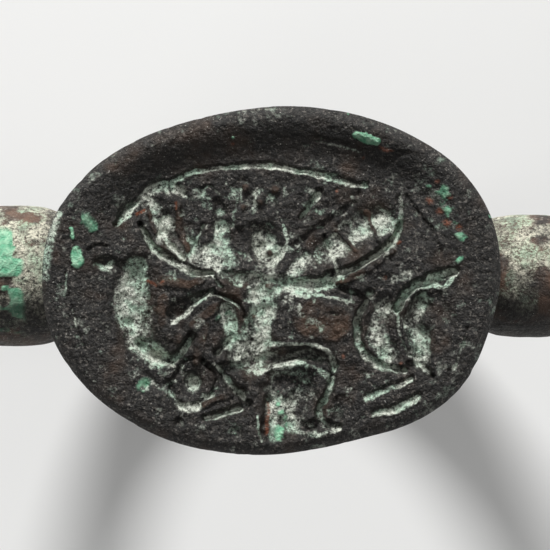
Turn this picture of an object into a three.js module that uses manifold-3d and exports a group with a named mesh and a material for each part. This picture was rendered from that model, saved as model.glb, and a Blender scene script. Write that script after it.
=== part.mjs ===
// A bronze scarab seal that turns on a pin between the two ends of a finger ring's hoop.
// Millimetres. The ring stands on the worn flat at the back of its hoop, with the engraved seal on top:
// +X runs along the pin and the seal's long axis, +Y along the wearer's finger and +Z up.
import * as THREE from 'three';
import { mergeVertices } from 'three/addons/utils/BufferGeometryUtils.js';
import Module from 'manifold-3d';

const wasm = await Module();
wasm.setup();

// Driving dimensions of the seal.
const SEAL_HALF_LENGTH = 8.8;
const SEAL_HALF_WIDTH = 6.65;
// Distance from the seal's middle to its worn edge, every 15 degrees anticlockwise from +X.
const SEAL_EDGE = [
  8.76, 8.7, 8.27, 7.6, 7.05, 6.68, 6.5, 6.5, 6.78, 7.35, 8.05, 8.65,
  8.82, 8.75, 8.34, 7.82, 7.38, 7.02, 6.85, 6.85, 7.15, 7.85, 8.42, 8.57,
];
const PLATE_THICKNESS = 1.5;
const SCARAB_LENGTH = 14.2;
const SCARAB_WIDTH = 11.2;
const SCARAB_HEIGHT = 7.1;
const SOLDER_THICKNESS = 0.15;
const JOINT_GAP = 0.03;

// Driving dimensions of the ring.
const PIN_HEIGHT = 22.6;
const PIN_RADIUS = 0.9;
const RUNNING_GAP = 0.08;
const BORE_RADIUS = PIN_RADIUS + RUNNING_GAP;
const HOOP_RADIUS = 10.6;
const FOOT_WEAR = 0.18;
const BAR_HALF_THICKNESS = 1.45;
const BACK_HALF_THICKNESS = 1.25;
const BACK_HALF_WIDTH = 1.95;
const LEFT_END_RADIUS = 2.8;
const RIGHT_END_RADIUS = 2.45;
const END_INNER_X = 7.7;
const END_OUTER_X = 12.05;

// Levels measured from the pin's axis, positive towards the engraved face.
const PLATE_BACK = 3.15;
const PLATE_FACE = PLATE_BACK + PLATE_THICKNESS;
const SOLDER_FACE = PLATE_BACK - JOINT_GAP;
const SOLDER_BACK = SOLDER_FACE - SOLDER_THICKNESS;
const SCARAB_BASE = SOLDER_BACK - JOINT_GAP;
const SCARAB_APEX = SCARAB_BASE - SCARAB_HEIGHT;

// Facet counts.
const FACE_CELLS = 56;
const ROUND_SEGMENTS = 32;
const BAR_SIDES = 18;

const { clamp, lerp } = THREE.MathUtils;

const smooth = (low, high, value) => {
  const t = clamp((value - low) / (high - low), 0, 1);
  return t * t * (3 - 2 * t);
};

// A circle of the given exponent: 2 is round, and higher ones fill out towards a square.
const squareness = (angle, power) => (
  (Math.abs(Math.cos(angle)) ** power + Math.abs(Math.sin(angle)) ** power) ** (-1 / power)
);

// Solids: meshes from lists of points, and the closed bodies that are joined and cut.

const facingOut = (points, triangles) => {
  let volume = 0;
  for (const [a, b, c] of triangles) {
    volume += points[a].dot(points[b].clone().cross(points[c]));
  }
  return volume < 0 ? triangles.map(([a, b, c]) => [a, c, b]) : triangles;
};

const meshOf = (points, triangles) => {
  const geometry = new THREE.BufferGeometry();
  geometry.setAttribute('position', new THREE.Float32BufferAttribute(points.flatMap((p) => p.toArray()), 3));
  geometry.setIndex(facingOut(points, triangles).flat());
  return geometry;
};

// Two rings of points, as triangles between them.
const band = (lower, upper) => {
  const triangles = [];
  for (let k = 0; k < lower.length; k += 1) {
    const next = (k + 1) % lower.length;
    triangles.push([lower[k], lower[next], upper[next]], [lower[k], upper[next], upper[k]]);
  }
  return triangles;
};

const fan = (ring, centre) => ring.map((index, k) => [index, ring[(k + 1) % ring.length], centre]);

// A closed solid through rings of equally many points, with a flat cap on its first and last ring.
const loft = (rings) => {
  const count = rings[0].length;
  const points = rings.flat();
  const indices = rings.map((_, ring) => Array.from({ length: count }, (__, k) => ring * count + k));
  const triangles = [];
  for (let ring = 0; ring < rings.length - 1; ring += 1) {
    triangles.push(...band(indices[ring], indices[ring + 1]));
  }
  for (const ring of [indices[0].toReversed(), indices.at(-1)]) {
    const centre = new THREE.Vector3();
    for (const index of ring) centre.addScaledVector(points[index], 1 / count);
    triangles.push(...fan(ring, points.push(centre) - 1));
  }
  return meshOf(points, triangles);
};

// A piece turned about X: its profile lists [x, radius] and starts and ends on the axis or closes.
const turned = (profile) => {
  const outline = profile.map(([x, radius]) => new THREE.Vector2(radius, x));
  return new THREE.LatheGeometry(outline, ROUND_SEGMENTS).rotateZ(-Math.PI / 2);
};

const cylinder = (from, to, radius) => turned([[from, 0], [from, radius], [to, radius], [to, 0]]);

const body = (geometry) => {
  const bare = geometry.clone();
  bare.deleteAttribute('normal');
  bare.deleteAttribute('uv');
  const merged = mergeVertices(bare, 1e-5);
  const points = [];
  for (let i = 0; i < merged.attributes.position.count; i += 1) {
    points.push(new THREE.Vector3().fromBufferAttribute(merged.attributes.position, i));
  }
  const triangles = [];
  for (let i = 0; i < merged.index.count; i += 3) {
    triangles.push([0, 1, 2].map((corner) => merged.index.getX(i + corner)));
  }
  const closed = meshOf(points, triangles);
  return new wasm.Manifold(new wasm.Mesh({
    numProp: 3,
    vertProperties: closed.attributes.position.array,
    triVerts: new Uint32Array(closed.index.array),
  }));
};

const geometryOf = (manifold) => {
  const mesh = manifold.getMesh();
  const geometry = new THREE.BufferGeometry();
  geometry.setAttribute('position', new THREE.BufferAttribute(new Float32Array(mesh.vertProperties), 3));
  geometry.setIndex(Array.from(mesh.triVerts));
  return geometry;
};

const tidy = (geometry) => geometryOf(body(geometry));

// The engraved face. It is sunk, as it has to be to print in relief: a winged figure runs kneeling
// between two beasts that rear up beside it, under an arched border line. A stroke is its depth,
// then points of [x, y, half width] on the face.
const SUNK = {
  borderLine: [0.26, [-4.2, 3.55, 0.3], [-2.6, 4.1, 0.3], [0, 4.3, 0.3], [2, 3.95, 0.3], [3.6, 3.5, 0.3]],
  head: [0.5, [-0.2, 1.45, 0.95], [-0.2, 0.8, 0.8]],
  headdress: [0.2, [-1.1, 3, 0.65], [0.2, 2.95, 0.65]],
  leftRay: [0.3, [-2.5, 3.25, 0.32], [-1.85, 2.5, 0.4]],
  rightRay: [0.34, [1.75, 3.1, 0.32], [1, 2.2, 0.3]],
  leftWing: [0.36, [-4.3, 2.75, 0.95], [-3.8, 1.6, 1], [-2.9, 1, 0.8], [-2, 0.6, 0.6]],
  leftWingTip: [0.32, [-5.8, 1.9, 0.32], [-5.4, 2.8, 0.36], [-4.6, 3.4, 0.32]],
  leftWingEdge: [0.55, [-5.1, 2.1, 0.32], [-4.3, 1, 0.4], [-3.4, 0.35, 0.4], [-2.3, 0.1, 0.32]],
  rightWing: [0.42, [2.4, 1.1, 0.7], [3.5, 1.9, 0.95], [4.5, 2.2, 0.7]],
  rightWingEdge: [0.55, [2.2, 0, 0.32], [2.9, 0.25, 0.34], [4.2, 1, 0.36], [4.95, 1.9, 0.34]],
  shoulders: [0.42, [-2.1, 0, 0.32], [-0.6, -0.2, 0.6], [0.8, -0.4, 0.42], [2.4, -0.4, 0.36]],
  rightHand: [0.4, [2.3, -0.4, 0.34], [3.7, -0.8, 0.34]],
  torso: [0.46, [-0.3, -0.2, 0.8], [-0.35, -1.3, 0.62], [-0.6, -3, 0.6]],
  leftArm: [0.32, [-2.3, -0.6, 0.3], [-1, -1.1, 0.36]],
  club: [0.6, [-2.4, -0.6, 0.32], [-3.1, -1, 0.42], [-3.75, -1.4, 0.5]],
  leftBeast: [0.5, [-5.2, 0.2, 0.5], [-5.3, -0.8, 0.75], [-5.1, -2.2, 0.7]],
  leftBeastHead: [0.3, [-6.6, 0.55, 0.42], [-5.6, 0.5, 0.42]],
  leftBeastTail: [0.42, [-5, -2.6, 0.4], [-4.3, -3.25, 0.36], [-3.5, -3, 0.34], [-3, -2.3, 0.3]],
  innerLobe: [0.34, [-1.4, -1.3, 0.42], [-2.5, -1.7, 0.36]],
  lowerLobe: [0.4, [-1.45, -2.3, 0.34], [-2.1, -3, 0.34]],
  rightThigh: [0.46, [-0.4, -3.4, 0.55], [0.8, -3.05, 0.52], [2.1, -3.3, 0.36]],
  rightShin: [0.4, [2.3, -3.3, 0.34], [2.3, -4.1, 0.34], [1.8, -4.9, 0.34], [1.85, -5.6, 0.36]],
  rightFoot: [0.36, [1.2, -5.8, 0.34], [2.7, -5.75, 0.3]],
  leftThigh: [0.42, [-0.8, -3.6, 0.5], [-1.35, -4.1, 0.42], [-1.2, -4.8, 0.36]],
  leftFoot: [0.36, [-1, -4.95, 0.34], [-2.5, -5.4, 0.3]],
  groundPit: [0.4, [-0.1, -4.6, 0.45], [0.15, -5.9, 0.6]],
  roundel: [0.36, [-3.2, -4.05, 0.62], [-2.8, -4.35, 0.62]],
  leftSpot: [0.2, [-4.75, -4.3, 0.45]],
  rightBeastNeck: [0.5, [4.8, -1, 0.38], [5.2, -0.45, 0.38], [6.3, 0, 0.45], [7.1, 0.25, 0.3]],
  rightBeastBack: [0.42, [3.6, -0.9, 0.34], [3.35, -1.9, 0.34], [3.8, -3, 0.34], [4.8, -3.5, 0.36]],
  rightBeastHock: [0.36, [4.7, -3.5, 0.34], [5.7, -3.4, 0.3]],
  rightBeastBody: [0.36, [5.5, -1.5, 0.5], [5.8, -2.7, 0.62]],
  tailHatch: [0.2, [3.7, -4.7, 0.34], [5.6, -4, 0.34]],
  rightBorder: [0.2, [5.2, 2.9, 0.32], [6.2, 1.5, 0.32], [6.6, 0.6, 0.32]],
};
const RAISED = {
  leftFeather: [0.2, [-3.5, 2.6, 0.34], [-3.2, 1.2, 0.3]],
  rightFeather: [0.2, [2.7, 1.1, 0.3], [4.2, 1.9, 0.3]],
};
const EDGE_BAND = 0.5;
const EDGE_DROP = 0.45;
const EDGE_ROUNDING = 1.7;
// The sunk field: its depth, and how far inside the edge its slope starts and ends.
const UPPER_FIELD = { depth: 0.5, start: 0.5, end: 1.9 };
const LOWER_FIELD = { depth: 0.08, start: 1.3, end: 2.2 };
const UPPER_CUT_SHARE = 0.7;

const sealEdge = (angle) => {
  const count = SEAL_EDGE.length;
  const turn = ((angle / (2 * Math.PI)) * count + count) % count;
  const start = Math.floor(turn);
  const t = turn - start;
  const [a, b, c, d] = [-1, 0, 1, 2].map((step) => SEAL_EDGE[(start + step + count) % count]);
  return b + t * (c - a + t * (2 * a - 5 * b + 4 * c - d + t * (3 * b - a - 3 * c + d))) / 2;
};

// A stroke's depth at (x, y): full on its line, and fading out at its half width.
const strokeDepth = ([depth, ...path], x, y) => {
  let share = 0;
  for (let i = 0; i < path.length - 1; i += 1) {
    const [ax, ay, aw] = path[i];
    const [bx, by, bw] = path[i + 1];
    const along = ((x - ax) * (bx - ax) + (y - ay) * (by - ay)) / ((bx - ax) ** 2 + (by - ay) ** 2);
    const t = clamp(along, 0, 1);
    const away = Math.hypot(x - lerp(ax, bx, t), y - lerp(ay, by, t)) / lerp(aw, bw, t);
    share = Math.max(share, 1 - away * away);
  }
  return depth * share;
};

const deepest = (strokes, x, y) => {
  const depths = Object.values(strokes).map((stroke) => strokeDepth(stroke, x, y));
  return Math.max(0, ...depths);
};

// How far the face lies below the plane of its border: a rounded edge, then a field that is sunk
// deeply under the arched top and hardly at the bottom, then the strokes.
const faceDrop = (x, y) => {
  const reach = sealEdge(Math.atan2(y, x));
  const inside = reach - Math.hypot(x, y);
  const towardsTop = (y / SEAL_HALF_WIDTH) / (1.05 - inside / reach);
  const upper = smooth(0.1, 0.75, towardsTop);
  const between = (key) => lerp(LOWER_FIELD[key], UPPER_FIELD[key], upper);
  const edge = EDGE_DROP * (1 - clamp(inside / EDGE_BAND, 0, 1)) ** EDGE_ROUNDING;
  const field = between('depth') * smooth(between('start'), between('end'), inside);
  const cut = deepest(SUNK, x, y) * lerp(1, UPPER_CUT_SHARE, upper) - deepest(RAISED, x, y);
  return edge + Math.max(field + cut, 0);
};

// Carries the square from -1 to 1 to the seal's oval.
const onSeal = (u, v) => {
  const x = SEAL_HALF_LENGTH * u * Math.sqrt(1 - v * v / 2);
  const y = SEAL_HALF_WIDTH * v * Math.sqrt(1 - u * u / 2);
  const angle = Math.atan2(y, x);
  const oval = 1 / Math.hypot(Math.cos(angle) / SEAL_HALF_LENGTH, Math.sin(angle) / SEAL_HALF_WIDTH);
  return [x, y].map((value) => value * sealEdge(angle) / oval);
};

// The plate's wall below the face, as [level, share of the face's outline].
const PLATE_WALL = [[PLATE_BACK + 0.2, 1], [PLATE_BACK, 0.975]];

const sealPlate = () => {
  const cells = FACE_CELLS;
  const points = [];
  const triangles = [];
  const at = (i, j) => j * (cells + 1) + i;
  for (let j = 0; j <= cells; j += 1) {
    for (let i = 0; i <= cells; i += 1) {
      const [x, y] = onSeal(2 * i / cells - 1, 2 * j / cells - 1);
      points.push(new THREE.Vector3(x, y, PLATE_FACE - faceDrop(x, y)));
    }
  }
  // Each cell is split along the diagonal that follows the engraving.
  for (let j = 0; j < cells; j += 1) {
    for (let i = 0; i < cells; i += 1) {
      const [a, b, c, d] = [at(i, j), at(i + 1, j), at(i + 1, j + 1), at(i, j + 1)];
      const rising = Math.abs(points[a].z - points[c].z) < Math.abs(points[b].z - points[d].z);
      triangles.push(...(rising ? [[a, b, c], [a, c, d]] : [[a, b, d], [b, c, d]]));
    }
  }
  const steps = Array.from({ length: cells }, (_, k) => k);
  let rim = [
    ...steps.map((k) => at(k, 0)),
    ...steps.map((k) => at(cells, k)),
    ...steps.map((k) => at(cells - k, cells)),
    ...steps.map((k) => at(0, cells - k)),
  ];
  const edge = rim.map((index) => points[index]);
  for (const [level, scale] of PLATE_WALL) {
    const ring = edge.map((p) => points.push(new THREE.Vector3(p.x * scale, p.y * scale, level)) - 1);
    triangles.push(...band(ring, rim));
    rim = ring;
  }
  triangles.push(...fan(rim.toReversed(), points.push(new THREE.Vector3(0, 0, PLATE_BACK)) - 1));
  return meshOf(points, triangles);
};

// The beetle, with its head towards -X, its back towards the finger and the plate on its plinth.
const PLINTH_POWER = 2.4;
const PLINTH_TIP = SCARAB_LENGTH * 0.54;
const PLINTH_HEIGHT = 0.6;
const LEG_ZONE = 3.4;
const SHOULDER_X = -1.5;
const NECK_X = -4.5;
const GROOVE_HALF_WIDTH = 0.42;
const GROOVE_DEPTH = 0.3;
const BACK_STEPS = 16;
const SCARAB_STATIONS = 40;
// Half the beetle's width above its legs, as [x, share of the plinth's half width].
const BEETLE_PLAN = [
  [-7.1, 0.3], [-6.3, 0.42], [-5.2, 0.62], [-4.5, 0.8], [-3, 0.93],
  [0, 0.98], [4, 0.9], [6.2, 0.62], [7.1, 0.4],
];
// Legs folded along the side, as [x, level below the base] to [x, level below the base].
const LEGS = [
  [[-6, 1], [-3.6, 2.9]],
  [[-3.6, 2.9], [-1.6, 1]],
  [[-0.6, 3], [1.4, 1]],
  [[0.8, 3], [4, 2.2]],
  [[4, 2.2], [5.8, 1]],
];
const LEG_LEVELS = [0.85, 1.4, 1.95, 2.5, 3.05];
const LEG_HALF_WIDTH = 0.6;
const LEG_RELIEF = 0.4;
const WAIST_INSET = 0.35;
const END_RISE = 0.24 * SCARAB_HEIGHT;
const END_RISE_POWER = 2.4;
const BACK_ROUNDNESS = 0.8;

const along = (table, x) => {
  const next = Math.max(1, table.findIndex(([place]) => place >= x));
  const [[fromX, from], [toX, to]] = [table[next - 1], table[next]];
  return lerp(from, to, smooth(fromX, toX, x));
};

const legRelief = (x, level) => {
  const strokes = LEGS.map((leg) => [LEG_RELIEF, ...leg.map((point) => [...point, LEG_HALF_WIDTH])]);
  return deepest(strokes, x, level);
};

const lineGroove = (distance) => Math.max(0, 1 - Math.abs(distance) / GROOVE_HALF_WIDTH);

const scarabSection = (x) => {
  const plinth = SCARAB_WIDTH / 2 * (1 - (Math.abs(x) / PLINTH_TIP) ** PLINTH_POWER) ** (1 / PLINTH_POWER);
  const beetle = SCARAB_WIDTH / 2 * along(BEETLE_PLAN, x);
  const back = SCARAB_APEX + END_RISE * (2 * Math.abs(x) / SCARAB_LENGTH) ** END_RISE_POWER;
  const shoulder = SCARAB_BASE - LEG_ZONE;
  const waist = Math.min(beetle, plinth) - WAIST_INSET;
  const side = [[plinth * 0.98, SCARAB_BASE], [plinth, SCARAB_BASE - PLINTH_HEIGHT]];
  for (const level of LEG_LEVELS) {
    side.push([waist + legRelief(x, level), SCARAB_BASE - level]);
  }
  const dome = [];
  for (let k = 0; k <= BACK_STEPS; k += 1) {
    const angle = Math.PI * k / BACK_STEPS;
    const y = Math.min(beetle, plinth) * Math.cos(angle);
    const rise = Math.sin(angle) ** BACK_ROUNDNESS;
    const across = Math.max(lineGroove(x - SHOULDER_X), lineGroove(x - NECK_X)) * smooth(0, 0.5, rise);
    const suture = x > SHOULDER_X ? lineGroove(y) : 0;
    dome.push([y, lerp(shoulder, back, rise) + GROOVE_DEPTH * Math.max(across, suture)]);
  }
  const otherSide = side.map(([y, z]) => [-y, z]).reverse();
  const base = [-0.5, 0, 0.5].map((share) => [share * plinth, SCARAB_BASE]);
  return [...side, ...dome, ...otherSide, ...base].map(([y, z]) => new THREE.Vector3(x, y, z));
};

// The flanged bushes in the mouths of the scarab's bore, which bear on the hoop's ends.
const BUSH_RADIUS = 1.5;
const BUSH_SEAT = 0.95;
const BUSH_CLEARANCE = 0.05;
const FLANGE_RADIUS = 1.9;
const FLANGE_THICKNESS = 0.38;
const FLANGE_CHAMFER = 0.1;
const SCARAB_END = SCARAB_LENGTH / 2;

const scarabBody = () => {
  const rings = [];
  for (let k = 0; k <= SCARAB_STATIONS; k += 1) {
    rings.push(scarabSection(SCARAB_LENGTH * (k / SCARAB_STATIONS - 0.5)));
  }
  const past = SCARAB_END + 1;
  const seatRadius = BUSH_RADIUS + BUSH_CLEARANCE;
  const seat = SCARAB_END - BUSH_SEAT;
  return geometryOf(body(loft(rings))
    .subtract(body(cylinder(-past, past, BORE_RADIUS)))
    .subtract(body(cylinder(-past, -seat, seatRadius)))
    .subtract(body(cylinder(seat, past, seatRadius))));
};

const boreBush = () => {
  const inner = SCARAB_END - BUSH_SEAT + BUSH_CLEARANCE;
  const flange = SCARAB_END + JOINT_GAP;
  return turned([
    [inner, BORE_RADIUS],
    [inner, BUSH_RADIUS],
    [flange, BUSH_RADIUS],
    [flange, FLANGE_RADIUS],
    [flange + FLANGE_THICKNESS, FLANGE_RADIUS - FLANGE_CHAMFER],
    [flange + FLANGE_THICKNESS, BORE_RADIUS],
    [inner, BORE_RADIUS],
  ]);
};

// The bed of solder between beetle and plate, a little proud of the plinth.
const solderBed = () => {
  const steps = 2 * ROUND_SEGMENTS;
  const ring = (level, scale) => Array.from({ length: steps }, (_, k) => {
    const angle = 2 * Math.PI * k / steps;
    const reach = scale * squareness(angle, PLINTH_POWER) / 2;
    const x = Math.cos(angle) * reach * SCARAB_LENGTH;
    const y = Math.sin(angle) * reach * SCARAB_WIDTH;
    return new THREE.Vector3(x, y, level);
  });
  return loft([ring(SOLDER_BACK, 1), ring(SOLDER_FACE, 1.03)]);
};

// The hoop: a bar bent to a stirrup, worn flat at the back, whose ends round off over the pin.
const ARC_CENTRE_Z = HOOP_RADIUS + BACK_HALF_THICKNESS - FOOT_WEAR;
const SHANK_STEPS = 8;
const ARC_STEPS = 36;
const CROWN_STEPS = 5;
const BAR_POWER = 2.4;

// The bar narrows from its end's width to this at the foot of a shank.
const shankFootWidth = (endRadius) => lerp(endRadius, BACK_HALF_WIDTH, 0.45);

const barRing = (centre, outward, halfThickness, halfWidth) => {
  const ring = [];
  for (let side = 0; side < BAR_SIDES; side += 1) {
    const angle = 2 * Math.PI * side / BAR_SIDES;
    const reach = squareness(angle, BAR_POWER);
    const point = centre.clone().addScaledVector(outward, Math.cos(angle) * reach * halfThickness);
    point.y += Math.sin(angle) * reach * halfWidth;
    ring.push(point);
  }
  return ring;
};

// The rings of one shank, from its rounded top down to where the arc begins.
const shankRings = (side, endRadius) => {
  const outward = new THREE.Vector3(side, 0, 0);
  const rings = [];
  for (let k = 0; k < CROWN_STEPS; k += 1) {
    const angle = Math.PI / 2 * (1 - (k + 0.3) / CROWN_STEPS);
    const centre = new THREE.Vector3(side * HOOP_RADIUS, 0, PIN_HEIGHT + endRadius * Math.sin(angle));
    const halfThickness = BAR_HALF_THICKNESS * Math.cos(angle) ** 0.6;
    rings.push(barRing(centre, outward, halfThickness, endRadius * Math.cos(angle)));
  }
  for (let k = 0; k <= SHANK_STEPS; k += 1) {
    const centre = new THREE.Vector3(side * HOOP_RADIUS, 0, lerp(PIN_HEIGHT, ARC_CENTRE_Z, k / SHANK_STEPS));
    const halfWidth = lerp(endRadius, shankFootWidth(endRadius), k / SHANK_STEPS);
    rings.push(barRing(centre, outward, BAR_HALF_THICKNESS, halfWidth));
  }
  return rings;
};

const hoopBar = () => {
  const rings = shankRings(-1, LEFT_END_RADIUS);
  for (let k = 1; k < ARC_STEPS; k += 1) {
    const angle = Math.PI * k / ARC_STEPS;
    const outward = new THREE.Vector3(-Math.cos(angle), 0, -Math.sin(angle));
    const centre = outward.clone().multiplyScalar(HOOP_RADIUS);
    centre.z += ARC_CENTRE_Z;
    const back = Math.sin(angle);
    const startWidth = shankFootWidth(outward.x < 0 ? LEFT_END_RADIUS : RIGHT_END_RADIUS);
    rings.push(barRing(
      centre,
      outward,
      lerp(BAR_HALF_THICKNESS, BACK_HALF_THICKNESS, back),
      lerp(startWidth, BACK_HALF_WIDTH, back),
    ));
  }
  rings.push(...shankRings(1, RIGHT_END_RADIUS).reverse());
  return loft(rings);
};

// The barrel-shaped end of the hoop that faces the seal.
const barrel = (radius) => turned([
  [END_INNER_X, 0],
  [END_INNER_X, radius * 0.76],
  [END_INNER_X + 0.15, radius * 0.82],
  [END_INNER_X + 0.5, radius * 0.89],
  [END_INNER_X + 1.1, radius * 0.97],
  [END_INNER_X + 1.8, radius],
  [END_INNER_X + 2.8, radius],
  [END_INNER_X + 3.6, radius * 0.88],
  [END_INNER_X + 4.1, radius * 0.72],
  [END_OUTER_X, radius * 0.62],
  [END_OUTER_X, 0],
]);

const hoop = () => {
  const past = END_OUTER_X + 1;
  const raised = (geometry) => body(geometry.translate(0, 0, PIN_HEIGHT));
  const below = new THREE.BoxGeometry(4 * HOOP_RADIUS, 4 * HOOP_RADIUS, 2).translate(0, 0, -1);
  return geometryOf(body(hoopBar())
    .add(raised(barrel(LEFT_END_RADIUS).rotateZ(Math.PI)))
    .add(raised(barrel(RIGHT_END_RADIUS)))
    .subtract(raised(cylinder(-past, past, BORE_RADIUS)))
    .subtract(body(below)));
};

// The swivel pin, hammered over a washer at each end.
const WASHER_THICKNESS = 0.32;
const WASHER_RADIUS = 1.45;
const WASHER_X = END_OUTER_X + JOINT_GAP;
const HEAD_X = WASHER_X + WASHER_THICKNESS + JOINT_GAP;
const HEAD_RADIUS = 1.25;
const HEAD_HEIGHT = 0.6;

const swivelPin = () => {
  const half = [
    [HEAD_X + HEAD_HEIGHT, 0],
    [HEAD_X + HEAD_HEIGHT * 0.87, HEAD_RADIUS * 0.44],
    [HEAD_X + HEAD_HEIGHT * 0.57, HEAD_RADIUS * 0.86],
    [HEAD_X + HEAD_HEIGHT * 0.3, HEAD_RADIUS],
    [HEAD_X, HEAD_RADIUS],
    [HEAD_X, PIN_RADIUS],
  ];
  return turned([...half.map(([x, radius]) => [-x, radius]), ...half.reverse()]);
};

const pinWasher = () => turned([
  [WASHER_X, BORE_RADIUS],
  [WASHER_X, WASHER_RADIUS],
  [WASHER_X + WASHER_THICKNESS, WASHER_RADIUS],
  [WASHER_X + WASHER_THICKNESS, BORE_RADIUS],
  [WASHER_X, BORE_RADIUS],
]);

// Dark patinated bronze, browner where it is worn, with grey lime in the joints.
const metal = (color, roughness, metalness) => (
  new THREE.MeshStandardMaterial({ color, roughness, metalness })
);
const sealBronze = metal(0x4a4440, 0.62, 0.55);
const scarabBronze = metal(0x463f38, 0.6, 0.55);
const hoopBronze = metal(0x6d6a60, 0.7, 0.4);
const pinBronze = metal(0x5c4a38, 0.5, 0.65);
const solderGrey = metal(0x8f938c, 0.75, 0.3);

const scarabRing = new THREE.Group();
const onPin = new THREE.Group();
onPin.position.z = PIN_HEIGHT;
scarabRing.add(onPin);

const place = (parent, name, geometry, material) => {
  const mesh = new THREE.Mesh(geometry, material);
  mesh.name = name;
  parent.add(mesh);
};

place(scarabRing, 'hoop', hoop(), hoopBronze);
place(onPin, 'swivel_pin', tidy(swivelPin()), pinBronze);
place(onPin, 'right_pin_washer', tidy(pinWasher()), pinBronze);
place(onPin, 'left_pin_washer', tidy(pinWasher().rotateZ(Math.PI)), pinBronze);
place(onPin, 'seal_plate', sealPlate(), sealBronze);
place(onPin, 'solder_bed', solderBed(), solderGrey);
place(onPin, 'scarab_body', scarabBody(), scarabBronze);
place(onPin, 'right_bore_bush', tidy(boreBush()), pinBronze);
place(onPin, 'left_bore_bush', tidy(boreBush().rotateZ(Math.PI)), pinBronze);

export default scarabRing;
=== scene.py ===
"""A corroded bronze scarab seal on its swivel ring: surfaces, floor, light and camera.

Shapes are worked out in millimetres and levels from the swivel pin, and turned to metres at the end.
"""

from types import SimpleNamespace

import bmesh
import bpy
import numpy as np
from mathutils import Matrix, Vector


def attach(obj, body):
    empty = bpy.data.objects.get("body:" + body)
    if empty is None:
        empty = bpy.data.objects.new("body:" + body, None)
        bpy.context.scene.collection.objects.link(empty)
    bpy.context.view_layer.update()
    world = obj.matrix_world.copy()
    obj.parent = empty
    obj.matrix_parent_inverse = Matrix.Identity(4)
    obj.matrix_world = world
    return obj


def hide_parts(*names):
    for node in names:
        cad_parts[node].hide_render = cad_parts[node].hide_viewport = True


MM = 0.001
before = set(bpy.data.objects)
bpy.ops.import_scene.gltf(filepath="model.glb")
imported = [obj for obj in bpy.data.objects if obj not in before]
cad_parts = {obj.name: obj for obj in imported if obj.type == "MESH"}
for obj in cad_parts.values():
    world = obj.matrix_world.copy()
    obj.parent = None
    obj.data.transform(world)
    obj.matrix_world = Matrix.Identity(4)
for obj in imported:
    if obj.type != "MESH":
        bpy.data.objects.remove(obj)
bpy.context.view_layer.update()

# The level of the swivel pin's axis over the frame's origin.
PIN_HEIGHT = 22.6

# The seal's outline: distance from its middle to its edge in mm, every 15 degrees from +X.
SEAL_EDGE = np.array([
    8.76, 8.7, 8.27, 7.6, 7.05, 6.68, 6.5, 6.5, 6.78, 7.35, 8.05, 8.65,
    8.82, 8.75, 8.34, 7.82, 7.38, 7.02, 6.85, 6.85, 7.15, 7.85, 8.42, 8.57,
])
SEAL_HALF_LENGTH = 8.8
SEAL_HALF_WIDTH = 6.65

# The levels of the seal plate's two sides over the pin's axis.
PLATE_BACK = 3.15
PLATE_FACE = 4.65

# The worn face lies this far below the plate's own face, and nowhere less than the second value.
FACE_SINK = 0.06
LEAST_SINK = 0.005

# The cells along each side of the face's grid.
FACE_CELLS = 400

# The rounded edge of the face: its width, its depth and how round it is.
EDGE_BAND = 0.5
EDGE_DROP = 0.42
EDGE_ROUNDING = 1.7

# The worn outline and its nicks, as shares of the seal's outline. The nicks come from noise that is
# read along a circle of this radius.
RIM_SHARE = 0.995
NICK_DEPTH = 0.006
NICK_CIRCLE = 9

# The seal's upper part fades in between these directions, given as sines.
UPPER_PART = (0.1, 0.75)

# The field inside the border: its depth, the distances from the edge where its slope starts and ends,
# and the share of their depth that the cuts in it keep. The first value of each is for the seal's
# lower part, and the second for its upper part.
FIELD_DEPTH = (0.08, 0.5)
FIELD_START = (1.3, EDGE_BAND)
FIELD_END = (2.2, 1.9)
CUT_SHARE = (1, 0.8)

# Where a groove crosses a hollow, the shallower one adds this share of its depth.
CROSSING_SHARE = 0.4

# The shape of a cut: how flat a groove's floor is, and the share of its half width that its walls take,
# which is larger for soft marks.
GROOVE_FLATNESS = 2.6
GROOVE_WALL = 0.7
SOFT_WALL = 0.9

# The green crust's heights where it turns from thin to thick, and where its colour is full.
THICK_GREEN = (0.06, 0.12)
FULL_GREEN = 0.11

# How far the strokes' edges waver, in wide and in fine waves.
WIDE_WAVER = 0.1
FINE_WAVER = 0.07

# The oval in the middle of the face where the tool's work has left the metal roughest.
WORKED_HALF_LENGTH = 7.1
WORKED_HALF_WIDTH = 5.6
WORKED_MIDDLE = -0.8

# Heights of the corroded texture. The last two are added in the worked oval only.
COARSE_HEIGHT = 0.03
PIT_DEPTH = 0.06
GRAIN_HEIGHT = 0.02
WORKED_GRAIN_HEIGHT = 0.05
WORKED_SCOUR_HEIGHT = 0.07

# The plate's wall and back, as rings of points: height over the back, and share of the face's outline.
SHELL_RINGS = [
    (0.9, 1.0), (0.7, 1.0), (0.5, 1.0), (0.3, 1.0), (0.14, 0.998), (0.04, 0.99),
    (0, 0.975), (0, 0.8), (0, 0.55), (0, 0.3), (0, 0.08),
]

# Rings over the first share are the wall, which is worn by about the second share of its size.
WALL_SHARE = 0.98
WALL_WEAR = 0.003

# The green crust on the hoop's left end: its height and its middle line, and the ranges of x, of the
# distance from that line and of z over which it fades in.
CRUST_HEIGHT = 0.12
CRUST_MIDDLE = -0.2
CRUST_X = (-9.3, -10.0)
CRUST_REACH = (2.4, 1.4)
CRUST_Z = (-1, 0.5)

# The ranges over which the hoop's two ends and its upper part fade in.
LEFT_END_X = (-7.5, -9.5)
RIGHT_END_X = (7.5, 9.5)
HOOP_TOP_Z = (-6, 0)

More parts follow.
